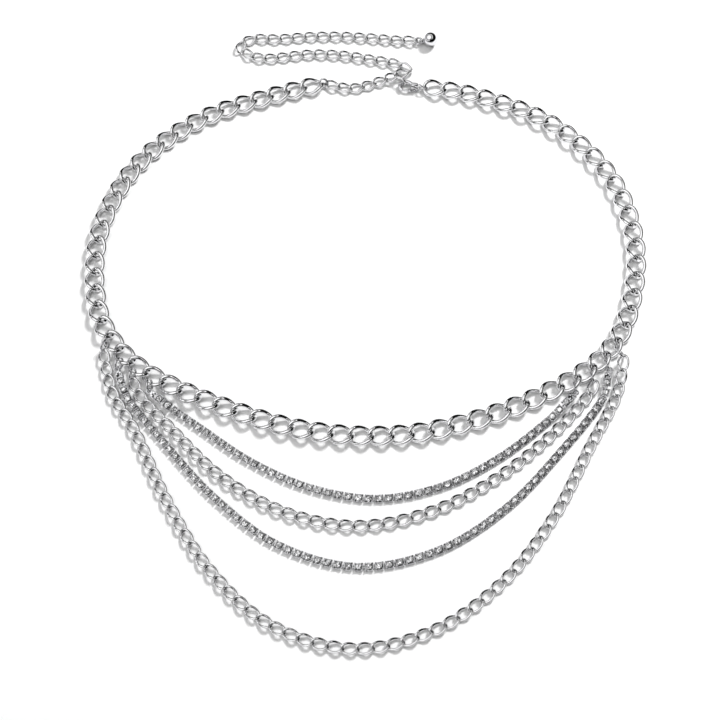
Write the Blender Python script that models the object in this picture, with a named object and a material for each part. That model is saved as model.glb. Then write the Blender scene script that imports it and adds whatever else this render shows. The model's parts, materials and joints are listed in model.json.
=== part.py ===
"""A layered body chain, lying flat: a chunky curb chain for the waist, four strands hung from it,
an extender with a ball on its end, and a lobster clasp with a sprung lever.

Metres, +Z up. The origin is on the table under the middle of the part, +X is to the side on
which the clasp lies, and +Y points from the hanging strands to the clasp."""

import math

import bmesh
import bpy
from mathutils import Matrix, Vector

MM = 0.001
UP = Vector((0.0, 0.0, 1.0))

# Fit between loose pieces, and how far a cutting shape overshoots
CLEARANCE = 0.3 * MM
FLOOR_GAP = 0.05 * MM
CUT_MARGIN = 1.0 * MM
WELD_DISTANCE = 0.001 * MM

# Main chain, a curb chain of round wire. Its first links, from the extender to the left
# hangers, lie slack, a little closer together than the taut rest.
MAIN_WIRE = 1.9 * MM
MAIN_PITCH = 9.0 * MM
SLACK_PITCH = 8.7 * MM
MAIN_WIDTH = 9.9 * MM
SLACK_LINKS = 24
MAIN_LINKS = 74
LINK_TWIST = math.radians(-42.0)
LINK_FULLNESS = 0.85
LINK_BITE = 0.4 * MM
LINK_SEGMENTS = 10
LINK_SIDES = 5
SMALL_TURN = 0.01

# Medium curb chain of strands b and d and of the extender, a band of the chain's outer size
CURB_WIDTH = 5.6 * MM
CURB_HEIGHT = 2.8 * MM

# Cup chain of strands a and c, a band of the cups' outer size
CUP_WIDTH = 3.2 * MM
CUP_HEIGHT = 2.2 * MM

# Bands. They run straight out of what holds them, drop to the table over a length, and have a
# point after each small bend.
BAND_POINT_SPACING = 16.0 * MM
BEND_POINT_SPACING = 2.6 * MM
BEND_A_POINT = 0.28
HOLD_STRAIGHT = 3.0 * MM
HOLD_GAP = 0.5 * MM
DROP_LENGTH = 14.0 * MM
BEVEL_RESOLUTION = 1

# Jump rings. The lean is the angle of a ring's plane from the table, and a hanging ring points
# along the link's outward way, weighed against the way to its strand.
RING_WIRE = 1.0 * MM
RING_SIZE = 6.4 * MM
BIG_RING_SIZE = 8.4 * MM
END_RING_SIZE = 5.6 * MM
BALL_RING_SIZE = 4.6 * MM
RING_SEGMENTS = 10
RING_SIDES = 5
RING_LEAN = math.radians(108.0)
BIG_RING_LEAN = math.radians(120.0)
END_RING_LEAN = math.radians(48.0)
RING_DROP = 0.3 * MM
HANG_OUTWARD = 1.8

# Cup chain connectors: a folded clip with an eye
CLIP_LENGTH = 3.4 * MM
CLIP_WIDTH = 3.2 * MM
CLIP_HEIGHT = 1.8 * MM
CLIP_ROUNDING = 0.3 * MM
EYE_WIRE = 0.7 * MM
EYE_HOLE = 1.7 * MM
EYE_RADIUS = (EYE_HOLE + EYE_WIRE) / 2
EYE_SEGMENTS = 10
EYE_SIDES = 5

# Lobster clasp
CLASP_BLOCK_LENGTH = 3.2 * MM
CLASP_BLOCK_WIDTH = 3.9 * MM
CLASP_THICKNESS = 3.2 * MM
CLASP_ROUNDING = 0.35 * MM
HOOK_WIRE = 2.0 * MM
HOOK_LENGTH = 6.9 * MM
HOOK_REACH = 2.6 * MM
HOOK_ROOT_DEPTH = 0.3 * MM
HOOK_ROOT_INSET = 0.1 * MM
PIN_DIAMETER = 0.8 * MM
PIVOT_AHEAD = 0.1 * MM
LEVER_THICKNESS = 1.4 * MM
LEVER_WIDTH = 1.3 * MM
LEVER_BOSS = 2.0 * MM
BOSS_PROUD = 0.3 * MM
ARM_BEND_BACK = 1.5 * MM
ARM_BEND_OUT = 0.55 * MM
ARM_TIP_INSET = 0.1 * MM
TAB_DIAMETER = 1.5 * MM
TAB_BACK = 2.1 * MM
TAB_OUT = 0.7 * MM
POST_SEGMENTS = 14

# The hook's line behind its root: share of its length towards the tip, share of its reach
HOOK_SHAPE = [
    (0.23, 0.95), (0.64, 0.85), (1.00, 0.15), (0.88, -0.72), (0.70, -0.95),
]
HOOK_TIP_REACH = HOOK_SHAPE[-1][1] * HOOK_REACH
HOOK_TIP_ROOM = 0.6 * HOOK_WIRE

# End ball
BALL_DIAMETER = 7.2 * MM
BALL_SEGMENTS = 16
BALL_RINGS = 10
BALL_EYE_SLOPE = math.radians(24.0)

# Routes seen from above, in millimetres, chosen along the strands of the real thing. The main
# chain runs from the extender round the front to the clasp.
MAIN_ROUTE = [
    (-26.6, 126.0), (-44.1, 120.8), (-81.8, 105.8), (-111.8, 78.8), (-126.8, 41.2),
    (-124.4, 0.9), (-115.2, -17.2), (-100.4, -31.0), (-63.7, -48.5), (-24.6, -59.9),
    (16.0, -61.6), (55.6, -52.4), (92.5, -35.4), (108.6, -23.1), (120.0, -6.3),
    (128.1, 33.4), (119.0, 72.6), (92.4, 103.0), (55.6, 120.0), (35.7, 124.3), (26.0, 125.4),
]
STRAND_ROUTES = {
    "a": [(-74.8, -57.5), (-50.7, -74.1), (-24.2, -86.2), (4.5, -91.1), (33.0, -85.6),
          (58.9, -72.3), (82.0, -54.3)],
    "b": [(-100.6, -44.5), (-87.6, -58.1), (-64.1, -80.9), (-35.7, -97.3), (-3.7, -103.6),
          (28.4, -97.1), (57.4, -81.9), (83.0, -61.4), (101.6, -41.0)],
    "c": [(-108.2, -42.4), (-90.0, -64.9), (-66.0, -91.0), (-37.7, -112.2), (-3.8, -121.7),
          (30.6, -114.7), (60.6, -95.9), (85.4, -70.6), (107.7, -42.5)],
    "d": [(-114.6, -41.2), (-103.3, -59.6), (-87.1, -92.2), (-67.3, -122.8), (-40.3, -146.9),
          (-5.6, -156.9), (29.6, -148.7), (59.1, -127.6), (81.9, -99.3), (99.6, -67.4),
          (113.9, -41.2)],
}
EXTENDER_ROUTE = [
    (-6.6, 125.2), (8.2, 129.4), (16.2, 131.9), (21.8, 135.4), (17.6, 139.2), (2.8, 142.9),
    (-12.3, 145.5), (-27.6, 146.1), (-42.8, 144.2), (-50.5, 143.6), (-58.6, 145.4),
    (-63.5, 150.3), (-58.8, 155.1), (-43.5, 155.7), (-28.3, 157.1), (-12.9, 157.3),
    (2.4, 156.3), (17.6, 154.7),
]
BALL_PLACE = (33.3, 154.0)

# The main links that carry the ends of strand a, counted from the extender. Each next strand
# hangs one link further out.
LEFT_HANGER_LINKS = 26
RIGHT_HANGER_LINKS = 48
# Where a strand's left and right rings sit on their links' outer bars, in mm from the middle
HANG_PLACES = {"a": (0.6, 0.6), "b": (0.6, 0.8), "c": (1.5, 0.6), "d": (0.0, 0.6)}
SIDES = ("left", "right")
BIG_RINGS = ("ring_right_d",)
CUP_STRANDS = ("a", "c")

SILVER = {"color": (0.80, 0.80, 0.81, 1.0), "roughness": 0.16}
BRIGHT = {"color": (0.86, 0.86, 0.87, 1.0), "roughness": 0.10}
CRYSTAL = {"color": (0.88, 0.90, 0.93, 1.0), "roughness": 0.05}


def clear_scene():
    for old in list(bpy.data.objects):
        bpy.data.objects.remove(old, do_unlink=True)


def new_collection(name):
    collection = bpy.data.collections.new(name)
    bpy.context.scene.collection.children.link(collection)
    return collection


def finish_of(name, look):
    """A polished metal material for one piece."""
    material = bpy.data.materials.new(name)
    material.use_nodes = True
    shader = material.node_tree.nodes["Principled BSDF"]
    shader.inputs["Base Color"].default_value = look["color"]
    shader.inputs["Metallic"].default_value = 1.0
    shader.inputs["Roughness"].default_value = look["roughness"]
    return material


def place_in(collection, obj):
    for other in list(obj.users_collection):
        other.objects.unlink(obj)
    collection.objects.link(obj)
    return obj


def finished(obj, name, look, parts):
    """Names a piece, gives it its finish and files it with the parts."""
    obj.name = name
    obj.data.name = name
    obj.data.materials.clear()
    obj.data.materials.append(finish_of(name, look))
    return place_in(parts, obj)


def helper(obj, helpers):
    """A shape that only cuts or joins another, so it isn't a piece."""
    obj.hide_render = True
    obj.display_type = "WIRE"
    return place_in(helpers, obj)


def object_of(bm, name):
    mesh = bpy.data.meshes.new(name)
    bm.to_mesh(mesh)
    bm.free()
    obj = bpy.data.objects.new(name, mesh)
    bpy.context.scene.collection.objects.link(obj)
    return obj


def combine(obj, operation, other):
    modifier = obj.modifiers.new(operation.title() + " " + other.name, "BOOLEAN")
    modifier.operation = operation
    modifier.solver = "EXACT"
    modifier.object = other


def smooth_shade(obj, angle=50.0):
    obj.data.shade_smooth()
    obj.data.set_sharp_from_angle(angle=math.radians(angle))


def frame_of(origin, along, side_hint):
    """A placement whose X runs along, and whose Z is square to it and to the side."""
    along = along.normalized()
    third = along.cross(side_hint).normalized()
    side = third.cross(along)
    frame = Matrix((along, side, third)).transposed().to_4x4()
    frame.translation = origin
    return frame


def flat(point):
    """A route's point, given in millimetres seen from above."""
    return Vector((point[0] * MM, point[1] * MM, 0.0))


def smooth_route(points, pieces=24):
    """A dense line along the smooth curve through the points, a centripetal spline."""
    ends = [points[0] * 2 - points[1], points[-1] * 2 - points[-2]]
    row = [ends[0]] + list(points) + [ends[1]]
    line = []
    for p0, p1, p2, p3 in zip(row, row[1:], row[2:], row[3:]):
        t1 = math.sqrt((p1 - p0).length)
        t2 = t1 + math.sqrt((p2 - p1).length)
        t3 = t2 + math.sqrt((p3 - p2).length)
        for step in range(pieces):
            t = t1 + (t2 - t1) * step / pieces
            a1 = p0 * ((t1 - t) / t1) + p1 * (t / t1)
            a2 = p1 * ((t2 - t) / (t2 - t1)) + p2 * ((t - t1) / (t2 - t1))
            a3 = p2 * ((t3 - t) / (t3 - t2)) + p3 * ((t - t2) / (t3 - t2))
            b1 = a1 * ((t2 - t) / t2) + a2 * (t / t2)
            b2 = a2 * ((t3 - t) / (t3 - t1)) + a3 * ((t - t1) / (t3 - t1))
            line.append(b1 * ((t2 - t) / (t2 - t1)) + b2 * ((t - t1) / (t2 - t1)))
    line.append(points[-1])
    return line


def walk(line, pitches):
    """Places along a line, each a given distance in a straight line from the last."""
    places = [line[0]]
    index = 1
    for pitch in pitches:
        last = places[-1]
        while index < len(line) and (line[index] - last).length < pitch:
            index += 1
        if index == len(line):
            way = (line[-1] - line[-2]).normalized()
            places.append(last + way * pitch)
            continue
        near = line[index - 1]
        step = line[index] - near
        low, high = 0.0, 1.0
        for _ in range(30):
            middle = (low + high) / 2
            if (near + step * middle - last).length < pitch:
                low = middle
            else:
                high = middle
        places.append(near + step * high)
    return places


def curb_point(turn, half_length, half_width, twist):
    """A point on a curb link's centre line: a rounded oblong twisted about its own length."""
    across = math.sin(turn)
    offset = half_width * math.copysign(abs(across) ** LINK_FULLNESS, across)
    angle = twist * math.cos(turn)
    return Vector((
        half_length * math.cos(turn),
        offset * math.cos(angle),
        offset * math.sin(angle),
    ))


MAIN_HALF_LENGTH = (MAIN_PITCH + MAIN_WIRE - LINK_BITE) / 2
MAIN_HALF_WIDTH = (MAIN_WIDTH - MAIN_WIRE) / 2


def main_point(turn):
    return curb_point(turn, MAIN_HALF_LENGTH, MAIN_HALF_WIDTH, LINK_TWIST)


def main_way(turn):
    return (main_point(turn + SMALL_TURN) - main_point(turn - SMALL_TURN)).normalized()


def link_shape():
    """A link's points and faces, a ring bent to the curb link's centre line."""
    bpy.ops.mesh.primitive_torus_add(
        major_segments=LINK_SEGMENTS, minor_segments=LINK_SIDES, major_radius=1.0, minor_radius=0.25
    )
    ring = bpy.context.object
    points = []
    for vertex in ring.data.vertices:
        x, y, z = vertex.co
        turn = math.atan2(y, x)
        around = math.atan2(z, math.hypot(x, y) - 1.0)
        centre = main_point(turn)
        tangent = main_way(turn)
        outward = (centre - tangent * centre.dot(tangent)).normalized()
        binormal = tangent.cross(outward)
        # The section's corner faces inwards, where the next link hooks in.
        offset = outward * math.cos(around) + binormal * math.sin(around)
        points.append(centre - offset * (MAIN_WIRE / 2))
    faces = [tuple(face.vertices) for face in ring.data.polygons]
    bpy.data.objects.remove(ring, do_unlink=True)
    return points, faces


def main_frames():
    """The placement of each main link: X along the chain, Y to the inside of the loop."""
    line = smooth_route([flat(point) for point in MAIN_ROUTE])
    tight = MAIN_LINKS - SLACK_LINKS
    places = walk(line, [SLACK_PITCH] * SLACK_LINKS + [MAIN_PITCH] * tight)
    lowest = min(point.z for point in link_shape()[0])
    height = -UP * lowest
    frames = []
    for index in range(MAIN_LINKS):
        before = places[max(index - 1, 0)]
        along = places[index + 1] - before
        side = UP.cross(along)
        frames.append(frame_of(places[index] + height, along, side))
    return frames


def links_object(name, frames):
    points, faces = link_shape()
    bm = bmesh.new()
    for frame in frames:
        corners = [bm.verts.new(frame @ point) for point in points]
        for face in faces:
            bm.faces.new([corners[index] for index in face])
    bmesh.ops.recalc_face_normals(bm, faces=bm.faces)
    return object_of(bm, name)


def make_main_chain(frames, parts, helpers):
    """The odd links hook into the even ones and are pressed into them, which makes one body."""
    chain = finished(links_object("main_chain", frames[0::2]), "main_chain", SILVER, parts)
    others = helper(links_object("main_chain_odd_links", frames[1::2]), helpers)
    combine(chain, "UNION", others)
    return chain


def ring_frame(bar, bar_way, bar_wire, out, size, lean):
    """A jump ring through which a bar passes. X points to its far side, Y leans up."""
    side = UP.cross(out)
    upward = UP * math.sin(lean) + side * math.cos(lean)
    normal = out.cross(upward)
    middle_radius = (size - RING_WIRE) / 2
    facet = middle_radius * (1.0 - math.cos(math.pi / RING_SEGMENTS))
    crossing = abs(normal.dot(bar_way))
    near = bar_wire / 2 / crossing + RING_WIRE / 2 + facet + CLEARANCE
    lowest = middle_radius * math.sin(lean) + RING_WIRE / 2 + FLOOR_GAP
    rise = max(lowest - bar.z, -RING_DROP) / math.sin(lean)
    ahead = math.sqrt(max((middle_radius - near) ** 2 - rise ** 2, 0.0))
    centre = bar + out * ahead + upward * rise
    frame = Matrix((out, upward, normal)).transposed().to_4x4()
    frame.translation = centre
    return frame


def far_side(frame, size):
    """The middle of the ring's wire where the next piece hangs."""
    return frame @ Vector(((size - RING_WIRE) / 2, 0.0, 0.0))


def make_ring(name, frame, size, parts):
    bpy.ops.mesh.primitive_torus_add(
        major_segments=RING_SEGMENTS,
        minor_segments=RING_SIDES,
        major_radius=(size - RING_WIRE) / 2,
        minor_radius=RING_WIRE / 2,
    )
    ring = bpy.context.object
    ring.matrix_world = frame
    smooth_shade(ring)
    return finished(ring, name, BRIGHT, parts)


def wire_place(frame, turn):
    """A point on a main link's centre line and the wire's direction there."""
    return frame @ main_point(turn), (frame.to_3x3() @ main_way(turn)).normalized()


def level(vector):
    return Vector((vector.x, vector.y, 0.0)).normalized()


def hanger_ring(name, main_frame, place, target, parts):
    """The ring between a main link's outer bar and a strand that leaves towards a target."""
    big = name in BIG_RINGS
    size = BIG_RING_SIZE if big else RING_SIZE
    lean = BIG_RING_LEAN if big else RING_LEAN
    bar, way = wire_place(main_frame, -math.acos(place / MAIN_HALF_LENGTH))
    outward = level(main_frame.to_3x3() @ Vector((0.0, -1.0, 0.0)))
    out = level(outward * HANG_OUTWARD + level(target - bar))
    frame = ring_frame(bar, way, MAIN_WIRE, out, size, lean)
    make_ring(name, frame, size, parts)
    return far_side(frame, size), frame.col[1].xyz


def thinned(line):
    """Keeps points where the line bends, halfway down each drop, and few where it is straight."""
    kept = [line[0]]
    since = 0.0
    travelled = 0.0
    halfway_down = [DROP_LENGTH / 2, line_length(line) - DROP_LENGTH / 2]
    for before, here, after in zip(line, line[1:], line[2:]):
        since += (here - before).length
        travelled += (here - before).length
        bend = (here - before).angle(after - here, 0.0) / max((after - here).length, WELD_DISTANCE)
        spacing = BAND_POINT_SPACING
        if bend > 0.0:
            spacing = min(spacing, max(BEND_POINT_SPACING, BEND_A_POINT / bend))
        marked = bool(halfway_down) and travelled >= halfway_down[0]
        if marked:
            halfway_down.pop(0)
        if marked or since >= spacing:
            kept.append(here)
            since = 0.0
    if (kept[-1] - line[-1]).length < BEND_POINT_SPACING:
        kept.pop()
    kept.append(line[-1])
    return kept


def line_length(line):
    return sum((here - before).length for before, here in zip(line, line[1:]))


def settled(line, rest_height, start_height, end_height):
    """Lets a line down from its two held ends to the height it rests at."""
    travelled = [0.0]
    for before, here in zip(line, line[1:]):
        travelled.append(travelled[-1] + (here - before).length)
    total = travelled[-1]
    lowered = []
    for point, at in zip(line, travelled):
        height = rest_height
        for end, distance in ((start_height, at), (end_height, total - at)):
            share = max(0.0, 1.0 - distance / DROP_LENGTH)
            height += max(0.0, end - rest_height) * share * share * (3.0 - 2.0 * share)
        lowered.append(Vector((point.x, point.y, height)))
    return lowered


def make_band(name, line, width, height, parts, look):
    """A flat band with round edges, which has a chain's outer size."""
    curve = bpy.data.curves.new(name, "CURVE")
    curve.dimensions = "3D"
    curve.twist_mode = "Z_UP"
    curve.bevel_depth = height / 2
    curve.extrude = (width - height) / 2
    curve.bevel_resolution = BEVEL_RESOLUTION
    curve.use_fill_caps = True
    spline = curve.splines.new("POLY")
    spline.points.add(len(line) - 1)
    for point, place in zip(spline.points, line):
        point.co = (*place, 1.0)
        point.tilt = math.pi / 2
    band = bpy.data.objects.new(name, curve)
    bpy.context.scene.collection.objects.link(band)
    return finished(band, name, look, parts)


def eye_object(name, ahead, upward, place, helpers):
    """A small wire eye about a place. A corner of it faces ahead, and its axis leans up."""
    frame = Matrix((ahead, upward.cross(ahead), upward)).transposed().to_4x4()
    frame.translation = place
    bpy.ops.mesh.primitive_torus_add(
        major_segments=EYE_SEGMENTS,
        minor_segments=EYE_SIDES,
        major_radius=EYE_RADIUS,
        minor_radius=EYE_WIRE / 2,
    )
    eye = bpy.context.object
    eye.name = name
    eye.matrix_world = frame
    return helper(eye, helpers)


def make_clip(name, place, ahead, upward, parts, helpers):
    """A cup chain's end connector: an eye round the ring's wire, and the folded clip behind it."""
    upward = (upward - ahead * upward.dot(ahead)).normalized()
    eye = eye_object(name + "_eye", ahead, upward, place, helpers)
    start = EYE_RADIUS
    bm = bmesh.new()
    bmesh.ops.create_cube(bm, size=1.0)
    bmesh.ops.scale(bm, vec=(CLIP_LENGTH, CLIP_WIDTH, CLIP_HEIGHT), verts=bm.verts)
    bmesh.ops.translate(bm, vec=(start + CLIP_LENGTH / 2, 0.0, 0.0), verts=bm.verts)
    bmesh.ops.bevel(
        bm, geom=list(bm.edges), offset=CLIP_ROUNDING, segments=1, affect="EDGES", profile=0.5
    )
    clip = object_of(bm, name)
    clip.matrix_world = eye.matrix_world
    combine(clip, "UNION", eye)
    finished(clip, name, BRIGHT, parts)
    return place + ahead * (start + CLIP_LENGTH + HOLD_GAP)


def strand_line(start, start_out, route, end, end_out, rest_height):
    """A strand's line from one held end, through its route, to the other held end."""
    ends = [start, start + start_out * HOLD_STRAIGHT]
    close = [end + end_out * HOLD_STRAIGHT, end]
    points = ends + [flat(point) for point in route] + close
    levelled = [Vector((point.x, point.y, 0.0)) for point in points]
    return settled(smooth_route(levelled), rest_height, start.z, end.z)


def make_strands(frames, parts, helpers):
    for further, (strand, route) in enumerate(STRAND_ROUTES.items()):
        links = (LEFT_HANGER_LINKS - further, RIGHT_HANGER_LINKS + further)
        cups = strand in CUP_STRANDS
        width = CUP_WIDTH if cups else CURB_WIDTH
        height = CUP_HEIGHT if cups else CURB_HEIGHT
        held = []
        ends = zip(SIDES, links, HANG_PLACES[strand], (route[0], route[-1]))
        for side, link, place, near in ends:
            target = flat(near)
            ring = f"ring_{side}_{strand}"
            place, upward = hanger_ring(ring, frames[link], place * MM, target, parts)
            out = level(target - place)
            if cups:
                clip = f"connector_{side}_{strand}"
                end = make_clip(clip, place, out, upward, parts, helpers)
            else:
                end = place + out * (RING_WIRE / 2 + HOLD_GAP)
            held.append((end, out))
        (start, start_out), (end, end_out) = held
        line = strand_line(start, start_out, route, end, end_out, height / 2)
        look = CRYSTAL if cups else SILVER
        make_band(f"strand_{strand}", thinned(line), width, height, parts, look)


def swept_wire(name, places, wire):
    """A round wire along a few points, as a mesh."""
    curve = bpy.data.curves.new(name, "CURVE")
    curve.dimensions = "3D"
    curve.bevel_depth = wire / 2
    curve.bevel_resolution = BEVEL_RESOLUTION
    curve.use_fill_caps = True
    spline = curve.splines.new("POLY")
    spline.points.add(len(places) - 1)
    for point, place in zip(spline.points, places):
        point.co = (*place, 1.0)
    drawn = bpy.data.objects.new(name + "_line", curve)
    bpy.context.scene.collection.objects.link(drawn)
    graph = bpy.context.evaluated_depsgraph_get()
    mesh = bpy.data.meshes.new_from_object(drawn.evaluated_get(graph))
    bpy.data.objects.remove(drawn, do_unlink=True)
    bm = bmesh.new()
    bm.from_mesh(mesh)
    bmesh.ops.remove_doubles(bm, verts=bm.verts, dist=WELD_DISTANCE)
    bmesh.ops.recalc_face_normals(bm, faces=bm.faces)
    bpy.data.meshes.remove(mesh)
    return object_of(bm, name)


def box_object(name, low, high, rounding=0.0):
    bm = bmesh.new()
    bmesh.ops.create_cube(bm, size=1.0)
    size = high - low
    bmesh.ops.scale(bm, vec=size, verts=bm.verts)
    bmesh.ops.translate(bm, vec=(low + high) / 2, verts=bm.verts)
    if rounding:
        bmesh.ops.bevel(
            bm, geom=list(bm.edges), offset=rounding, segments=1, affect="EDGES", profile=0.5
        )
    return object_of(bm, name)


def post_object(name, centre, diameter, height):
    """An upright round post about a point."""
    bm = bmesh.new()
    radius = diameter / 2
    bmesh.ops.create_cone(
        bm, cap_ends=True, segments=POST_SEGMENTS, radius1=radius, radius2=radius, depth=height
    )
    bmesh.ops.translate(bm, vec=centre, verts=bm.verts)
    return object_of(bm, name)


def ball_object(name, centre, diameter, segments, rings):
    bm = bmesh.new()
    bmesh.ops.create_uvsphere(bm, u_segments=segments, v_segments=rings, radius=diameter / 2)
    bmesh.ops.translate(bm, vec=centre, verts=bm.verts)
    return object_of(bm, name)


def make_hook(helpers):
    """The hook's wire, which starts inside the block, and the end of its line."""
    back = -CLASP_BLOCK_LENGTH / 2
    span = HOOK_LENGTH - HOOK_WIRE / 2
    root_side = CLASP_BLOCK_WIDTH / 2 - HOOK_WIRE / 2 - HOOK_ROOT_INSET
    places = [Vector((back + HOOK_ROOT_DEPTH, root_side, 0.0))]
    for length_share, reach_share in HOOK_SHAPE:
        places.append(Vector((back - length_share * span, reach_share * HOOK_REACH, 0.0)))
    line = smooth_route(places, 3)
    return helper(swept_wire("clasp_hook", line, HOOK_WIRE), helpers), line[-1]


def make_lever(pivot, hook_end, clasp_frame, parts, helpers):
    """The lever: boss on the pin, arm to the hook's tip and thumb tab outside."""
    tip = Vector((hook_end.x + HOOK_TIP_ROOM + CLEARANCE, HOOK_TIP_REACH + ARM_TIP_INSET, 0.0))
    bend = pivot + Vector((-ARM_BEND_BACK, -ARM_BEND_OUT, 0.0))
    middle = Vector(((pivot.x + tip.x) / 2, HOOK_TIP_REACH, 0.0))
    arm_line = [point - pivot for point in smooth_route([pivot, bend, middle, tip], 3)]
    lever = post_object("clasp_lever", Vector((0.0, 0.0, 0.0)), LEVER_BOSS, LEVER_THICKNESS)
    arm = helper(swept_wire("lever_arm", arm_line, LEVER_WIDTH), helpers)
    combine(lever, "UNION", arm)
    tab_place = Vector((-TAB_BACK, arm_line[4].y - TAB_OUT, 0.0))
    tab = helper(ball_object("lever_tab", tab_place, TAB_DIAMETER, 10, 6), helpers)
    combine(lever, "UNION", tab)
    hole_diameter = PIN_DIAMETER + 2 * CLEARANCE
    hole = post_object("lever_hole", Vector((0.0, 0.0, 0.0)), hole_diameter, 2 * LEVER_THICKNESS)
    combine(lever, "DIFFERENCE", helper(hole, helpers))
    for obj in (lever, arm, tab, hole):
        obj.matrix_world = clasp_frame @ Matrix.Translation(pivot)
    finished(lever, "clasp_lever", BRIGHT, parts)


def make_clasp(eye_place, upward, out, parts, helpers):
    """The clasp is modelled about the middle of its block, tail to +X and lever to -Y."""
    along = -out
    frame = frame_of(Vector((0.0, 0.0, 0.0)), along, UP.cross(along))
    centre = eye_place - along * (CLASP_BLOCK_LENGTH / 2 + EYE_HOLE / 2)
    centre.z = CLASP_THICKNESS / 2 + FLOOR_GAP
    frame.translation = centre

    half_length = CLASP_BLOCK_LENGTH / 2
    half_width = CLASP_BLOCK_WIDTH / 2
    half_height = CLASP_THICKNESS / 2
    low = Vector((-half_length, -half_width, -half_height))
    high = Vector((half_length, half_width, half_height))
    body = box_object("clasp_body", low, high, CLASP_ROUNDING)

    # Slot for the lever's boss, open towards the hook and the lever's side
    boss_room = LEVER_BOSS / 2 + CLEARANCE
    pivot = Vector((PIVOT_AHEAD, -half_width + boss_room - BOSS_PROUD, 0.0))
    slot_height = LEVER_THICKNESS / 2 + CLEARANCE
    slot_low = Vector((-half_length - CUT_MARGIN, -half_width - CUT_MARGIN, -slot_height))
    slot_high = Vector((pivot.x + boss_room, pivot.y + boss_room, slot_height))
    slot = helper(box_object("clasp_slot", slot_low, slot_high), helpers)
    combine(body, "DIFFERENCE", slot)
    pin_length = 2 * slot_height + CUT_MARGIN
    pin = helper(post_object("clasp_pin", pivot, PIN_DIAMETER, pin_length), helpers)
    combine(body, "UNION", pin)
    hook, hook_end = make_hook(helpers)
    combine(body, "UNION", hook)
    turned = frame.to_3x3().inverted() @ upward
    ahead = (Vector((1.0, 0.0, 0.0)) - turned * turned.x).normalized()
    eye = eye_object("clasp_eye", ahead, turned, frame.inverted() @ eye_place, helpers)
    combine(body, "UNION", eye)
    for obj in (body, slot, pin, hook, eye):
        obj.matrix_world = frame @ obj.matrix_world
    finished(body, "clasp_body", BRIGHT, parts)
    make_lever(pivot, hook_end, frame, parts, helpers)


def make_clasp_end(frames, parts, helpers):
    """The ring on the last main link and the clasp that hangs on it."""
    last = frames[-1]
    bar, way = wire_place(last, 0.0)
    out = level(last.to_3x3() @ Vector((1.0, 0.0, 0.0)))
    frame = ring_frame(bar, way, MAIN_WIRE, out, END_RING_SIZE, END_RING_LEAN)
    make_ring("ring_clasp", frame, END_RING_SIZE, parts)
    make_clasp(far_side(frame, END_RING_SIZE), frame.col[1].xyz, out, parts, helpers)


def make_extender(frames, parts, helpers):
    """The ring on the first main link, the extender, and the ring and ball on its free end."""
    first = frames[0]
    bar, way = wire_place(first, math.pi)
    ahead = flat(EXTENDER_ROUTE[0])
    link_way = level(first.to_3x3() @ Vector((-1.0, 0.0, 0.0)))
    out = level(link_way + level(ahead - bar))
    frame = ring_frame(bar, way, MAIN_WIRE, out, END_RING_SIZE, END_RING_LEAN)
    make_ring("ring_extender", frame, END_RING_SIZE, parts)
    place = far_side(frame, END_RING_SIZE)
    start_out = level(out + level(ahead - place))
    start = place + start_out * (RING_WIRE / 2 + HOLD_GAP)

    back, eye_place = make_end_ball(parts, helpers)
    ball_ring_radius = (BALL_RING_SIZE - RING_WIRE) / 2
    side = UP.cross(back)
    ring_place = Matrix((back, side, back.cross(side))).transposed().to_4x4()
    ring_place.translation = eye_place + back * ball_ring_radius
    make_ring("ring_ball", ring_place, BALL_RING_SIZE, parts)
    end = eye_place + back * (2 * ball_ring_radius + RING_WIRE / 2 + HOLD_GAP)
    line = strand_line(start, start_out, EXTENDER_ROUTE, end, back, CURB_HEIGHT / 2)
    make_band("extender", thinned(line), CURB_WIDTH, CURB_HEIGHT, parts, SILVER)


def make_end_ball(parts, helpers):
    """The ball and its eye. Returns the way from the ball to the chain, and the eye's middle."""
    centre = flat(BALL_PLACE) + UP * (BALL_DIAMETER / 2 + FLOOR_GAP)
    back = level(flat(EXTENDER_ROUTE[-1]) - centre)
    slope = back * math.cos(BALL_EYE_SLOPE) - UP * math.sin(BALL_EYE_SLOPE)
    eye_place = centre + slope * (BALL_DIAMETER / 2 + EYE_HOLE / 2)
    eye = eye_object("ball_eye", slope, UP.cross(back), eye_place, helpers)
    middle = Vector((0.0, 0.0, 0.0))
    ball = ball_object("end_ball", middle, BALL_DIAMETER, BALL_SEGMENTS, BALL_RINGS)
    ball.location = centre
    combine(ball, "UNION", eye)
    finished(ball, "end_ball", BRIGHT, parts)
    smooth_shade(ball)
    return back, eye_place


def main():
    clear_scene()
    parts = new_collection("Layered body chain")
    helpers = new_collection("Cutters and joined shapes")
    frames = main_frames()
    make_main_chain(frames, parts, helpers)
    make_strands(frames, parts, helpers)
    make_clasp_end(frames, parts, helpers)
    make_extender(frames, parts, helpers)


main()
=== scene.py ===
"""Dresses the layered body chain: real links, cups with cut stones, rings, clasp and ball, their
materials, a plain white table, soft light and the photograph's camera.

Sizes are in metres, in the part's own frame. MM turns millimetres into metres."""

import json
import math

import bmesh
import bpy
import numpy as np
from mathutils import Matrix, Quaternion, Vector

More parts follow.
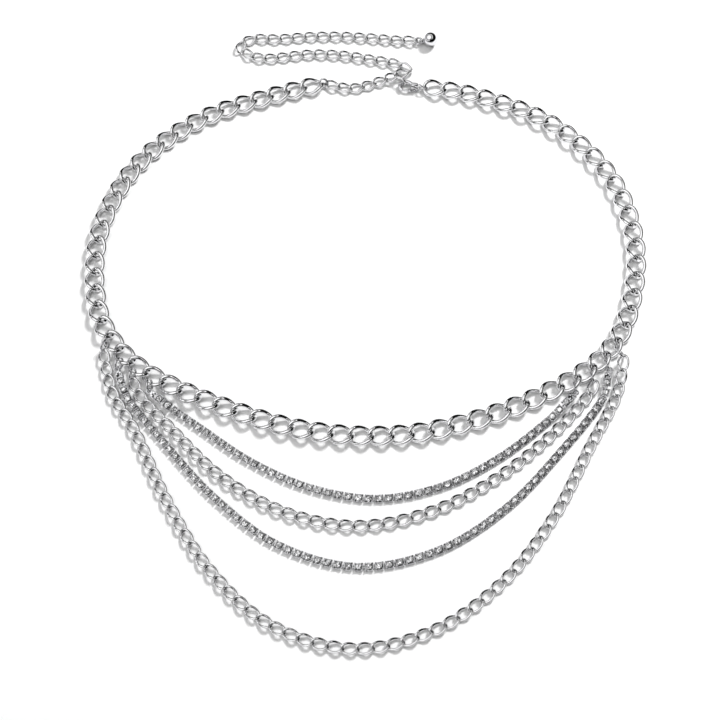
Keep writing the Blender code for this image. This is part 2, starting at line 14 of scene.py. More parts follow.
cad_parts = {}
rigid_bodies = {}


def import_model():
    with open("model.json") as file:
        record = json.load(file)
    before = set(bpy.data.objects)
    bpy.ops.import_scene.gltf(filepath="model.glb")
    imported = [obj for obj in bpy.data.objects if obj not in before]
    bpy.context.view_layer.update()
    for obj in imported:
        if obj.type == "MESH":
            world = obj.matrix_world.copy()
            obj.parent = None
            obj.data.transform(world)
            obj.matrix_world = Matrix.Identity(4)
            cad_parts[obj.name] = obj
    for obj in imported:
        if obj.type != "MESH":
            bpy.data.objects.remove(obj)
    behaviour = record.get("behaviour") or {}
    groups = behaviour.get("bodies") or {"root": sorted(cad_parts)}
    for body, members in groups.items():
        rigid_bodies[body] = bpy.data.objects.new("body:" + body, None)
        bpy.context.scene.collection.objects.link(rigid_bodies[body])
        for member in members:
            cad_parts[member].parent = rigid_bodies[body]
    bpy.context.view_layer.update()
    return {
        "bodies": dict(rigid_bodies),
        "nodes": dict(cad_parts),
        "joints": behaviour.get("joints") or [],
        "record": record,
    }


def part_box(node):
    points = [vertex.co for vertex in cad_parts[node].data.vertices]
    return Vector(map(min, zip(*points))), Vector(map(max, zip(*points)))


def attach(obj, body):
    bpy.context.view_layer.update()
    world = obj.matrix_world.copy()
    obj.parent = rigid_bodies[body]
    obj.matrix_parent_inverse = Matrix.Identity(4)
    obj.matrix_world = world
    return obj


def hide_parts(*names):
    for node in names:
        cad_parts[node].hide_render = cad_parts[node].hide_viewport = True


MM = 0.001
UP = Vector((0.0, 0.0, 1.0))
BODY = "chain"
LEVER_BODY = "lever"

# Main chain, as in the part's source
MAIN_WIRE = 1.9 * MM
MAIN_PITCH = 9.0 * MM
SLACK_PITCH = 8.7 * MM
SLACK_LINKS = 24
MAIN_WIDTH = 9.9 * MM
MAIN_LINKS = 74
LINK_TWIST = math.radians(-42.0)
LINK_FULLNESS = 0.85
MAIN_STEPS = 52
MAIN_SIDES = 14

# Medium curb chain
CURB_WIRE = 1.2 * MM
CURB_PITCH = 6.33 * MM
CURB_WIDTH = 5.7 * MM
CURB_STEPS = 40
CURB_SIDES = 10

# Cup chain
CUP_PITCH = 4.5 * MM
CUP_SIZE = 3.9 * MM
CUP_HEIGHT = 1.25 * MM
CUP_WALL = 0.2 * MM
CUP_STEPS = 24
CUP_SQUARENESS = 5.0
PRONG_RADIUS = CUP_SIZE * 0.085
BAR_RADIUS = 0.34 * MM
STONE_SIZE = 3.4 * MM
STONE_GIRDLE = 1.42 * MM
CROWN_HEIGHT = 0.55 * MM
PAVILION_DEPTH = 0.85 * MM
# The table's and the middle points' reach as shares of the radius, and the middle's height as
# a share of the crown
TABLE_REACH = 0.56
MIDDLE_REACH = 0.80
MIDDLE_SHARE = 0.60
# Each stone is turned further than the last, so that no two catch the light alike
STONE_TURN = math.radians(97.0)

# Findings
RING_WIRE = 1.0 * MM
RING_SPLIT = 0.12 * MM
RING_SLIMMING = 0.97
RING_STEPS = 56
RING_SIDES = 14
EYE_WIRE = 0.7 * MM
EYE_HOLE = 1.7 * MM
EYE_RADIUS = (EYE_HOLE + EYE_WIRE) / 2
EYE_STEPS = 28
EYE_SIDES = 10
CLIP_LENGTH = 3.2 * MM
CLIP_WIDTH = 3.1 * MM
CLIP_SHEET = 0.35 * MM
CLIP_HEIGHT = 1.7 * MM
CLIP_ROUNDING = 0.1 * MM
CLIP_OVERLAP = 0.1 * MM
# The ball's collar: heights above the ball and radii
COLLAR = [(-0.25 * MM, 1.15 * MM), (0.05 * MM, 1.1 * MM), (0.2 * MM, 0.8 * MM)]

# Clasp, about the middle of its block
CLASP_BLOCK_LENGTH = 3.2 * MM
CLASP_BLOCK_WIDTH = 3.9 * MM
CLASP_THICKNESS = 3.2 * MM
HOOK_WIRE = 2.0 * MM
HOOK_LENGTH = 6.9 * MM
HOOK_REACH = 2.6 * MM
HOOK_ROOT_DEPTH = 0.9 * MM
# The hook's way as shares of its length and reach: out from the block, then round the tip
HOOK_OUTWARD = [(-0.20, 0.95), (-0.55, 0.85)]
HOOK_ROUND_TIP = [(0.0, 0.15), (0.10, -0.72), (0.26, -0.95)]
HOOK_SLIM_FROM = 0.45
HOOK_SLIMMING = 0.22
PIVOT_AHEAD = 0.1 * MM
PIVOT_ACROSS = -0.95 * MM
PIN_RADIUS = 0.45 * MM
LEVER_BOSS = 2.0 * MM
BOSS_BEVEL = 0.12 * MM
LEVER_THICKNESS = 1.4 * MM
LEVER_WIDTH = 1.3 * MM
LEVER_CLEARANCE = 0.35 * MM
TAB_OFFSET = Vector((-2.1 * MM, -1.55 * MM, 0.0))
TAB_RADIUS = 0.75 * MM
TAB_SHAPE = (1.25, 0.9, 0.95)

# How far along a strand comes down from its ring to the table
DROP_LENGTH = 14.0 * MM

# The extender's link in the clasp: how it is tilted and raised, and how far the next links on
# either side stand apart where both hook into it
HOOKED_LINK_TILT = math.radians(62.0)
HOOKED_LINK_LIFT = 1.35 * MM
SHARED_LINK_STEP = 0.3 * MM

# The photograph's camera, fitted to the picture: where it aims on the table and how it looks
AIM = Vector((-2.6 * MM, -24.0 * MM, 0.0))
VIEW_ELEVATION = math.radians(65.72)
VIEW_DISTANCE = 622.4 * MM
FOCAL_LENGTH_PX = 1357.0
PHOTO_PX = 720
SENSOR_MM = 36.0

# The room's brightness along its tilted height, which is dark low down, most at the right and
# behind, and in a band higher up
ROOM_TILT = (-0.44, -0.12, 1.0)
ROOM_BY_HEIGHT = [
    (0.0, 0.01), (0.57, 0.01), (0.60, 1.45), (0.68, 1.45), (0.71, 0.03), (0.81, 0.03),
    (0.87, 0.45), (0.95, 1.25), (1.0, 1.25),
]
# A dark patch low in front, as the room's brightness by nearness to its middle
FRONT_WAY = (0.30, -0.92, 0.25)
FRONT_BY_NEARNESS = [(0.0, 1.0), (0.80, 1.0), (0.88, 0.02), (1.0, 0.02)]

# The lamp that throws the shadows, and half the table's side
KEY_PLACE = Vector((0.75, 1.00, 1.25))
KEY_SIZE = 0.45
KEY_POWER = 31.5
TABLE_SIZE = 2.5

# The silver platings: colour, roughness, grain of the scratches, and how much clouds dull them
SILVERS = {
    "silver_main": ((0.93, 0.93, 0.94), 0.05, 420.0, 0.12),
    "silver_fine": ((0.93, 0.93, 0.94), 0.06, 600.0, 0.12),
    "silver_bright": ((0.80, 0.80, 0.82), 0.05, 520.0, 0.08),
    "silver_cups": ((0.84, 0.84, 0.86), 0.06, 520.0, 0.20),
}
WHITE = (1.0, 1.0, 1.0)
# How near other pieces, the table too, must be for the painted shade that darkens the silver's
# colour
PAINTED_SHADE_DISTANCE = 2.5 * MM

# Routes seen from above, in millimetres, as in the part's source
MAIN_ROUTE = [
    (-26.6, 126.0), (-44.1, 120.8), (-81.8, 105.8), (-111.8, 78.8), (-126.8, 41.2),
    (-124.4, 0.9), (-115.2, -17.2), (-100.4, -31.0), (-63.7, -48.5), (-24.6, -59.9),
    (16.0, -61.6), (55.6, -52.4), (92.5, -35.4), (108.6, -23.1), (120.0, -6.3),
    (128.1, 33.4), (119.0, 72.6), (92.4, 103.0), (55.6, 120.0), (35.7, 124.3), (26.0, 125.4),
]
STRAND_ROUTES = {
    "a": [(-74.8, -57.5), (-50.7, -74.1), (-24.2, -86.2), (4.5, -91.1), (33.0, -85.6),
          (58.9, -72.3), (82.0, -54.3)],
    "b": [(-100.6, -44.5), (-87.6, -58.1), (-64.1, -80.9), (-35.7, -97.3), (-3.7, -103.6),
          (28.4, -97.1), (57.4, -81.9), (83.0, -61.4), (101.6, -41.0)],
    "c": [(-108.2, -42.4), (-90.0, -64.9), (-66.0, -91.0), (-37.7, -112.2), (-3.8, -121.7),
          (30.6, -114.7), (60.6, -95.9), (85.4, -70.6), (107.7, -42.5)],
    "d": [(-114.6, -41.2), (-103.3, -59.6), (-87.1, -92.2), (-67.3, -122.8), (-40.3, -146.9),
          (-5.6, -156.9), (29.6, -148.7), (59.1, -127.6), (81.9, -99.3), (99.6, -67.4),
          (113.9, -41.2)],
}
EXTENDER_ROUTE = [
    (-6.6, 125.2), (8.2, 129.4), (16.2, 131.9), (21.8, 135.4), (17.6, 139.2), (2.8, 142.9),
    (-12.3, 145.5), (-27.6, 146.1), (-42.8, 144.2), (-50.5, 143.6), (-58.6, 145.4),
    (-63.5, 150.3), (-58.8, 155.1), (-43.5, 155.7), (-28.3, 157.1), (-12.9, 157.3),
    (2.4, 156.3), (17.6, 154.7),
]
# How many points of the extender's route come before the link that the clasp holds
POINTS_TO_HOOK = 2
CUP_STRANDS = ("a", "c")
SIDES = ("left", "right")


def clear_scene():
    for old in list(bpy.data.objects):
        bpy.data.objects.remove(old, do_unlink=True)


def new_object(name, bm, materials, smooth=True, angle=40.0):
    """Turns mesh data into an object with its materials."""
    bmesh.ops.recalc_face_normals(bm, faces=bm.faces)
    mesh = bpy.data.meshes.new(name)
    bm.to_mesh(mesh)
    bm.free()
    obj = bpy.data.objects.new(name, mesh)
    bpy.context.scene.collection.objects.link(obj)
    for material in materials:
        mesh.materials.append(material)
    if smooth:
        mesh.shade_smooth()
        mesh.set_sharp_from_angle(angle=math.radians(angle))
    return obj


def dress(obj, nodes, body=BODY):
    """Puts a piece on its body, in place of the CAD nodes that it stands for."""
    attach(obj, body)
    if nodes:
        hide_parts(*nodes)
    return obj


def frame_of(origin, along, side_hint):
    """A placement whose X runs along, and whose Z is square to it and to the side."""
    along = along.normalized()
    third = along.cross(side_hint).normalized()
    side = third.cross(along)
    frame = Matrix((along, side, third)).transposed().to_4x4()
    frame.translation = origin
    return frame


def flat(point):
    return Vector((point[0] * MM, point[1] * MM, 0.0))


def level(vector):
    return Vector((vector.x, vector.y, 0.0)).normalized()


def smooth_route(points, pieces=24):
    """A dense line along the smooth curve through the points, a centripetal spline."""
    ends = [points[0] * 2 - points[1], points[-1] * 2 - points[-2]]
    row = [ends[0]] + list(points) + [ends[1]]
    line = []
    for p0, p1, p2, p3 in zip(row, row[1:], row[2:], row[3:]):
        t1 = math.sqrt((p1 - p0).length)
        t2 = t1 + math.sqrt((p2 - p1).length)
        t3 = t2 + math.sqrt((p3 - p2).length)
        for step in range(pieces):
            t = t1 + (t2 - t1) * step / pieces
            a1 = p0 * ((t1 - t) / t1) + p1 * (t / t1)
            a2 = p1 * ((t2 - t) / (t2 - t1)) + p2 * ((t - t1) / (t2 - t1))
            a3 = p2 * ((t3 - t) / (t3 - t2)) + p3 * ((t - t2) / (t3 - t2))
            b1 = a1 * ((t2 - t) / t2) + a2 * (t / t2)
            b2 = a2 * ((t3 - t) / (t3 - t1)) + a3 * ((t - t1) / (t3 - t1))
            line.append(b1 * ((t2 - t) / (t2 - t1)) + b2 * ((t - t1) / (t2 - t1)))
    line.append(points[-1])
    return line


def walk(line, pitches):
    """Places along a line, each a given distance in a straight line from the last."""
    places = [line[0]]
    index = 1
    for pitch in pitches:
        last = places[-1]
        while index < len(line) and (line[index] - last).length < pitch:
            index += 1
        if index == len(line):
            way = (line[-1] - line[-2]).normalized()
            places.append(last + way * pitch)
            continue
        near = line[index - 1]
        step = line[index] - near
        low, high = 0.0, 1.0
        for _ in range(30):
            middle = (low + high) / 2
            if (near + step * middle - last).length < pitch:
                low = middle
            else:
                high = middle
        places.append(near + step * high)
    return places


def line_length(line):
    return sum((here - before).length for before, here in zip(line, line[1:]))


def point_at(line, distance):
    """The point a distance along a line, and the line's direction there."""
    for before, here in zip(line, line[1:]):
        step = (here - before).length
        if distance <= step or here is line[-1]:
            way = (here - before).normalized()
            return before + way * distance, way
        distance -= step
    return line[-1], (line[-1] - line[-2]).normalized()


def add_tube(bm, points, radii, sides, closed=False):
    """A round tube along points, its section carried along without twisting."""
    count = len(points)
    if not isinstance(radii, (list, tuple)):
        radii = [radii] * count
    ways = []
    for index in range(count):
        after = points[(index + 1) % count] if closed else points[min(index + 1, count - 1)]
        before = points[index - 1] if closed else points[max(index - 1, 0)]
        ways.append((after - before).normalized())
    start = ways[0].orthogonal().normalized()
    starts = []
    for index, way in enumerate(ways):
        if index:
            start = ways[index - 1].rotation_difference(way) @ start
        starts.append(start)
    slip = 0.0
    if closed:
        carried = ways[-1].rotation_difference(ways[0]) @ starts[-1]
        slip = carried.angle(starts[0], 0.0)
        if carried.cross(starts[0]).dot(ways[0]) < 0.0:
            slip = -slip
    rows = []
    for index, (point, way) in enumerate(zip(points, ways)):
        start = Quaternion(way, slip * index / count) @ starts[index]
        other = way.cross(start)
        ring = []
        for corner in range(sides):
            turn = 2.0 * math.pi * corner / sides
            offset = start * math.cos(turn) + other * math.sin(turn)
            ring.append(bm.verts.new(point + offset * radii[index]))
        rows.append(ring)
    bridge(bm, rows + rows[:1] if closed else rows)
    if not closed:
        bm.faces.new(rows[0])
        bm.faces.new(rows[-1])


def bridge(bm, rows):
    """Joins each ring of points to the next with four-cornered faces."""
    count = len(rows[0])
    for ring, following in zip(rows, rows[1:]):
        for index in range(count):
            after = (index + 1) % count
            bm.faces.new((ring[index], ring[after], following[after], following[index]))


def stamp(bm, shape, frame):
    """Adds a copy of a shape, its points and faces, at a placement."""
    points, faces = shape
    corners = [bm.verts.new(frame @ point) for point in points]
    for face in faces:
        bm.faces.new([corners[index] for index in face])


def shape_of(bm):
    """A shape's points and faces, for stamping many copies."""
    bm.verts.index_update()
    points = [vertex.co.copy() for vertex in bm.verts]
    faces = [[vertex.index for vertex in face.verts] for face in bm.faces]
    bm.free()
    return points, faces


def ray(turn):
    """A level direction, turned from X."""
    return Vector((math.cos(turn), math.sin(turn), 0.0))


def add_eye(bm, centre, first, second):
    """A round eye of fine wire about a centre, in the plane of two directions."""
    eye = []
    for step in range(EYE_STEPS):
        turn = 2.0 * math.pi * step / EYE_STEPS
        eye.append(centre + (first * math.cos(turn) + second * math.sin(turn)) * EYE_RADIUS)
    add_tube(bm, eye, EYE_WIRE / 2, EYE_SIDES, closed=True)


def rounded_block(bm, low, high, rounding, segments=3):
    """A block between two corners, with rounded edges."""
    made = bmesh.ops.create_cube(bm, size=1.0)["verts"]
    bmesh.ops.scale(bm, vec=high - low, verts=made)
    bmesh.ops.translate(bm, vec=(low + high) / 2, verts=made)
    edges = list({edge for vertex in made for edge in vertex.link_edges})
    bmesh.ops.bevel(
        bm, geom=edges, offset=rounding, segments=segments, affect="EDGES", profile=0.5)


# Curb links

def curb_line(half_length, half_width, steps):
    """A curb link's centre line: a rounded oblong twisted about its own length."""
    points = []
    for step in range(steps):
        turn = 2.0 * math.pi * step / steps
        across = math.sin(turn)
        offset = half_width * math.copysign(abs(across) ** LINK_FULLNESS, across)
        angle = LINK_TWIST * math.cos(turn)
        points.append(Vector((
            half_length * math.cos(turn),
            offset * math.cos(angle),
            offset * math.sin(angle),
        )))
    return points


def curb_link(pitch, wire, width, steps, sides):
    """A link's shape and the height of its middle when it lies on the table."""
    bm = bmesh.new()
    line = curb_line((pitch + wire) / 2, (width - wire) / 2, steps)
    add_tube(bm, line, wire / 2, sides, closed=True)
    shape = shape_of(bm)
    return shape, -min(point.z for point in shape[0])


def main_places():
    line = smooth_route([flat(point) for point in MAIN_ROUTE])
    tight = MAIN_LINKS - SLACK_LINKS
    return walk(line, [SLACK_PITCH] * SLACK_LINKS + [MAIN_PITCH] * tight)


def build_main_chain(silver):
    shape, height = curb_link(MAIN_PITCH, MAIN_WIRE, MAIN_WIDTH, MAIN_STEPS, MAIN_SIDES)
    places = main_places()
    bm = bmesh.new()
    for index in range(MAIN_LINKS):
        before = places[max(index - 1, 0)]
        along = places[index + 1] - before
        stamp(bm, shape, frame_of(places[index] + UP * height, along, UP.cross(along)))
    chain = new_object("main_chain_links", bm, [silver])
    dress(chain, ["main_chain"])


# Rings, read from the CAD model

def ring_of(node):
    """A CAD ring's middle, normal and the radius of its wire's centre line."""
    points = np.array([vertex.co for vertex in bpy.data.objects[node].data.vertices], float)
    middle = (points.min(axis=0) + points.max(axis=0)) / 2.0
    for _ in range(2):
        normal = np.linalg.svd(points - middle)[2][2]
        middle = points.mean(axis=0)
    spread = points - middle
    spread -= np.outer(spread @ normal, normal)
    outer = np.linalg.norm(spread, axis=1).max()
    return Vector(middle), Vector(normal), outer - RING_WIRE / 2


def hang_point(ring, towards):
    """The point of a ring's wire nearest to what pulls on it."""
    middle, normal, radius = ring
    way = towards - middle
    way -= normal * way.dot(normal)
    return middle + way.normalized() * radius


def build_ring(node, silver):
    """A jump ring of round wire with its fine split at the top."""
    middle, normal, radius = ring_of(node)
    top = UP - normal * UP.dot(normal)
    top = top.normalized() if top.length > 0.1 else normal.orthogonal().normalized()
    other = normal.cross(top)
    half_split = RING_SPLIT / 2 / radius
    points = []
    for step in range(RING_STEPS + 1):
        turn = half_split + (2.0 * math.pi - 2.0 * half_split) * step / RING_STEPS
        points.append(middle + (top * math.cos(turn) + other * math.sin(turn)) * radius)
    bm = bmesh.new()
    add_tube(bm, points, RING_WIRE / 2 * RING_SLIMMING, RING_SIDES)
    dress(new_object(node + "_wire", bm, [silver]), [node])


# Strands

def settled(line, rest_height, start_height, end_height):
    """Lets a line down from its two held ends to the height it rests at."""
    travelled = [0.0]
    for before, here in zip(line, line[1:]):
        travelled.append(travelled[-1] + (here - before).length)
    total = travelled[-1]
    lowered = []
    for point, at in zip(line, travelled):
        height = rest_height
        for end, distance in ((start_height, at), (end_height, total - at)):
            share = max(0.0, 1.0 - distance / DROP_LENGTH)
            height += (end - rest_height) * share * share * (3.0 - 2.0 * share)
        lowered.append(Vector((point.x, point.y, height)))
    return lowered


def held_line(start, route, end, rest_height):
    """A line from one held end through a route to the other held end."""
    points = [start] + [flat(point) for point in route] + [end]
    levelled = [Vector((point.x, point.y, 0.0)) for point in points]
    return settled(smooth_route(levelled), rest_height, start.z, end.z)


def curb_run(bm, shape, line, pitch, wire, held_start, held_end):
    """Links along a line whose first and last link hook round the wires that hold them."""
    half_length = (pitch + wire) / 2
    first = half_length - wire / 2 - held_start / 2
    last = half_length - wire / 2 - held_end / 2
    room = line_length(line) - first - last
    spaces = round(room / pitch)
    for index in range(spaces + 1):
        place, way = point_at(line, first + room * index / spaces)
        stamp(bm, shape, frame_of(place, way, UP.cross(way)))


def build_curb_strand(strand, silver):
    shape, height = curb_link(CURB_PITCH, CURB_WIRE, CURB_WIDTH, CURB_STEPS, CURB_SIDES)
    route = STRAND_ROUTES[strand]
    ends = []
    for side, near in zip(SIDES, (route[0], route[-1])):
        ends.append(hang_point(ring_of(f"ring_{side}_{strand}"), flat(near)))
    line = held_line(ends[0], route, ends[1], height)
    bm = bmesh.new()
    curb_run(bm, shape, line, CURB_PITCH, CURB_WIRE, RING_WIRE, RING_WIRE)
    links = new_object(f"strand_{strand}_links", bm, [silver])
    dress(links, [f"strand_{strand}"])


# Cup chain

def squircle(half, height):
    """A ring of points round a square with soft corners."""
    points = []
    for step in range(CUP_STEPS):
        turn = 2.0 * math.pi * (step + 0.5) / CUP_STEPS
        c, s = math.cos(turn), math.sin(turn)
        spread = abs(c) ** CUP_SQUARENESS + abs(s) ** CUP_SQUARENESS
        reach = half / spread ** (1.0 / CUP_SQUARENESS)
        points.append(Vector((reach * c, reach * s, height)))
    return points


def cup_shape():
    """A cup with a square rim, four prongs and the joining bar to the next cup."""
    bm = bmesh.new()
    half = CUP_SIZE / 2
    profile = [
        (0.60 * half, 0.0),
        (0.80 * half, 0.08 * CUP_HEIGHT),
        (0.90 * half, 0.45 * CUP_HEIGHT),
        (0.97 * half, CUP_HEIGHT - 0.05 * MM),
        (0.95 * half, CUP_HEIGHT),
        (0.95 * half - CUP_WALL, CUP_HEIGHT),
        (0.88 * half - CUP_WALL, 0.45 * CUP_HEIGHT),
        (0.45 * half, 0.22 * CUP_HEIGHT),
    ]
    rows = []
    for reach, height in profile:
        rows.append([bm.verts.new(point) for point in squircle(reach, height)])
    bridge(bm, rows)
    bm.faces.new(rows[0])
    bm.faces.new(rows[-1])
    for corner in range(4):
        way = ray(math.pi / 4 + corner * math.pi / 2)
        points = [
            way * (1.10 * half) + UP * (0.35 * CUP_HEIGHT),
            way * (1.18 * half) + UP * (0.85 * CUP_HEIGHT),
            way * (1.13 * half) + UP * (STONE_GIRDLE + 0.10 * MM),
            way * (0.86 * half) + UP * (STONE_GIRDLE + 0.42 * MM),
        ]
        radii = [PRONG_RADIUS] * 5 + [PRONG_RADIUS * 0.95, PRONG_RADIUS * 0.7]
        add_tube(bm, smooth_route(points, 2), radii, 6)
    bar = [
        Vector((0.8 * half, 0.0, 0.42 * CUP_HEIGHT)),
        Vector((CUP_PITCH - 0.8 * half, 0.0, 0.42 * CUP_HEIGHT)),
    ]
    add_tube(bm, bar, BAR_RADIUS, 8)
    return shape_of(bm)


def stone_shape():
    """A brilliant: table, star, main and girdle facets above, and a pointed back."""
    bm = bmesh.new()
    radius = STONE_SIZE / 2
    table_height = STONE_GIRDLE + CROWN_HEIGHT
    middle_height = STONE_GIRDLE + MIDDLE_SHARE * CROWN_HEIGHT
    table, middle, girdle = [], [], []
    for index in range(8):
        turn = index * math.pi / 4
        table.append(bm.verts.new(ray(turn) * (TABLE_REACH * radius) + UP * table_height))
        turn += math.pi / 8
        middle.append(bm.verts.new(ray(turn) * (MIDDLE_REACH * radius) + UP * middle_height))
    for index in range(16):
        girdle.append(bm.verts.new(ray(index * math.pi / 8) * radius + UP * STONE_GIRDLE))
    point = bm.verts.new(UP * (STONE_GIRDLE - PAVILION_DEPTH))
    bm.faces.new(table)
    for index in range(8):
        after = (index + 1) % 8
        outer, between, following = (girdle[(2 * index + step) % 16] for step in range(3))
        bm.faces.new((table[index], middle[index], table[after]))
        bm.faces.new((table[index], middle[index - 1], outer, middle[index]))
        bm.faces.new((middle[index], outer, between))
        bm.faces.new((middle[index], between, following))
    for index in range(16):
        bm.faces.new((point, girdle[index], girdle[(index + 1) % 16]))
    return shape_of(bm)


def clip_plates():
    """The low and high corners of a clip's base, two walls, two claws and neck."""
    wide, high = CLIP_WIDTH / 2, CLIP_HEIGHT / 2
    walls, claws, claws_end = 0.25 * CLIP_LENGTH, 0.30 * CLIP_LENGTH, 0.62 * CLIP_LENGTH
    gap, neck, neck_end = 0.12 * CLIP_WIDTH, 0.28 * CLIP_WIDTH, 0.34 * CLIP_LENGTH
    return [
        ((0.0, -wide, -high), (CLIP_LENGTH, wide, -high + CLIP_SHEET)),
        ((walls, -wide, -high), (CLIP_LENGTH, -wide + CLIP_SHEET, high)),
        ((walls, wide - CLIP_SHEET, -high), (CLIP_LENGTH, wide, high)),
        ((claws, -wide, high - CLIP_SHEET), (claws_end, -gap, high)),
        ((claws, gap, high - CLIP_SHEET), (claws_end, wide, high)),
        ((0.0, -neck, -high), (neck_end, neck, high - 0.5 * MM)),
    ]


def build_clip(node, ring, silver):
    """A cup chain's end connector: an eye, a neck and a folded clip with its claws."""
    low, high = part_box(node)
    place = hang_point(ring, (low + high) / 2)
    ahead = level((low + high) / 2 - place)
    middle, normal, _ = ring
    tangent = normal.cross(place - middle).normalized()
    upward = (tangent - ahead * tangent.dot(ahead)).normalized()
    if upward.z < 0.0:
        upward = -upward
    frame = frame_of(place, ahead, upward.cross(ahead))
    bm = bmesh.new()
    add_eye(bm, Vector(), Vector((1.0, 0.0, 0.0)), Vector((0.0, 1.0, 0.0)))
    start = Vector((EYE_RADIUS - CLIP_OVERLAP, 0.0, 0.0))
    for low_corner, high_corner in clip_plates():
        rounded_block(bm, start + Vector(low_corner), start + Vector(high_corner), CLIP_ROUNDING, 2)
    bmesh.ops.transform(bm, matrix=frame, verts=bm.verts)
    dress(new_object(node + "_clip", bm, [silver]), [node])
    return frame @ (start + Vector((CLIP_LENGTH + CLIP_OVERLAP, 0.0, 0.0)))


def build_cup_strand(strand, silver, crystal):
    route = STRAND_ROUTES[strand]
    ends = []
    for side in SIDES:
        ring = ring_of(f"ring_{side}_{strand}")
        ends.append(build_clip(f"connector_{side}_{strand}", ring, silver))
    line = held_line(ends[0] - UP * CUP_HEIGHT / 2, route, ends[1] - UP * CUP_HEIGHT / 2, 0.0)
    room = line_length(line) - CUP_SIZE
    spaces = round(room / CUP_PITCH)
    cup, stone = cup_shape(), stone_shape()
    cups, stones = bmesh.new(), bmesh.new()
    for index in range(spaces + 1):
        place, way = point_at(line, CUP_SIZE / 2 + room * index / spaces)
        frame = frame_of(place, way, UP.cross(way))
        stamp(cups, cup, frame)
        stamp(stones, stone, frame @ Matrix.Rotation(STONE_TURN * index, 4, "Z"))
    pieces = new_object(f"strand_{strand}_cups", cups, [silver])
    dress(pieces, [f"strand_{strand}"])
    gems = new_object(f"strand_{strand}_stones", stones, [crystal], smooth=False)
    dress(gems, [])


# Clasp

def clasp_frame(pivot):
    """The clasp's placement: tail to +X, lever to -Y, about the middle of its block."""
    places = main_places()
    out = level(places[MAIN_LINKS] - places[MAIN_LINKS - 2])
    along = -out
    frame = frame_of(Vector((0.0, 0.0, 0.0)), along, UP.cross(along))
    frame.translation = pivot - frame.to_3x3() @ Vector((PIVOT_AHEAD, PIVOT_ACROSS, 0.0))
    return frame


def hook_line():
    """The hook from the block round to its tip, in the clasp's own frame."""
    back = -CLASP_BLOCK_LENGTH / 2
    tip = back - HOOK_LENGTH + HOOK_WIRE / 2
    root = CLASP_BLOCK_WIDTH / 2 - HOOK_WIRE / 2 - 0.1 * MM
    points = [Vector((back + HOOK_ROOT_DEPTH, root, 0.0))]
    for origin, shares in ((back, HOOK_OUTWARD), (tip, HOOK_ROUND_TIP)):
        for along, across in shares:
            points.append(Vector((origin + along * HOOK_LENGTH, across * HOOK_REACH, 0.0)))
    return smooth_route(points, 8)


def build_clasp(pivot, silver):
    """The clasp's hook, its block with the lever's slot, the pin and the tail's eye."""
    frame = clasp_frame(pivot)
    bm = bmesh.new()
    line = hook_line()
    thick = []
    for index in range(len(line)):
        past = max(0.0, index / (len(line) - 1) - HOOK_SLIM_FROM)
        thick.append(HOOK_WIRE / 2 * (1.0 - HOOK_SLIMMING * past))
    add_tube(bm, line, thick, 16)
    long, wide, high = CLASP_BLOCK_LENGTH / 2, CLASP_BLOCK_WIDTH / 2, CLASP_THICKNESS / 2
    slot = LEVER_THICKNESS / 2 + 0.3 * MM
    inset = 0.4 * MM
    cheek_end, back_start, tail_start = 0.4 * MM, 0.30 * MM, 0.8 * MM
    blocks = [
        ((-long, -wide, slot), (long, cheek_end, high), 0.3 * MM),
        ((-long, -wide, -high), (long, cheek_end, -slot), 0.3 * MM),
        ((-long, back_start, -high), (long, wide, high), 0.5 * MM),
        ((tail_start, -wide + inset, -high + inset), (long, wide, high - inset), 0.4 * MM),
    ]
    for low_corner, high_corner, rounding in blocks:
        rounded_block(bm, Vector(low_corner), Vector(high_corner), rounding)
    pin_end = high + 0.05 * MM
    pin = [Vector((PIVOT_AHEAD, PIVOT_ACROSS, side * pin_end)) for side in (-1, 1)]
    add_tube(bm, pin, PIN_RADIUS, 16)
    ring = ring_of("ring_clasp")
    place = hang_point(ring, frame @ Vector((0.0, 0.0, 0.0)))
    tangent = (frame.to_3x3().inverted() @ ring[1].cross(place - ring[0])).normalized()
    first = (Vector((1.0, 0.0, 0.0)) - tangent * tangent.x).normalized()
    add_eye(bm, frame.inverted() @ place, first, tangent.cross(first))
    bmesh.ops.transform(bm, matrix=frame, verts=bm.verts)
    dress(new_object("clasp_body_cast", bm, [silver]), ["clasp_body"])
    build_lever(frame, line, silver)


def build_lever(frame, line, silver):
    """The sprung gate: boss on the pin, arm to the hook's tip and thumb tab outside."""
    pivot = Vector((PIVOT_AHEAD, PIVOT_ACROSS, 0.0))
    gap_end = line[-1].x + LEVER_CLEARANCE
    arm_across = -0.95 * HOOK_REACH
    arm = smooth_route([
        pivot + Vector((-0.7 * MM, -0.2 * MM, 0.0)),
        Vector((pivot.x - 1.5 * MM, pivot.y - 0.55 * MM, 0.0)),
        Vector(((pivot.x + gap_end) / 2, arm_across, 0.0)),
        Vector((gap_end, arm_across + 0.1 * MM, 0.0)),
    ], 5)
    bm = bmesh.new()
    add_tube(bm, arm, LEVER_WIDTH / 2, 14)
    half, radius = LEVER_THICKNESS / 2, LEVER_BOSS / 2
    heights = (-half, -half + BOSS_BEVEL, half - BOSS_BEVEL, half)
    boss = [pivot + UP * height for height in heights]
    add_tube(bm, boss, [radius - BOSS_BEVEL, radius, radius, radius - BOSS_BEVEL], 20)
    made = bmesh.ops.create_uvsphere(bm, u_segments=20, v_segments=12, radius=TAB_RADIUS)["verts"]
    bmesh.ops.scale(bm, vec=TAB_SHAPE, verts=made)
    bmesh.ops.translate(bm, vec=pivot + TAB_OFFSET, verts=made)
    bmesh.ops.transform(bm, matrix=frame, verts=bm.verts)
    lever = new_object("clasp_lever_cast", bm, [silver])
    dress(lever, ["clasp_lever"], body=LEVER_BODY)


# Extender and its ball

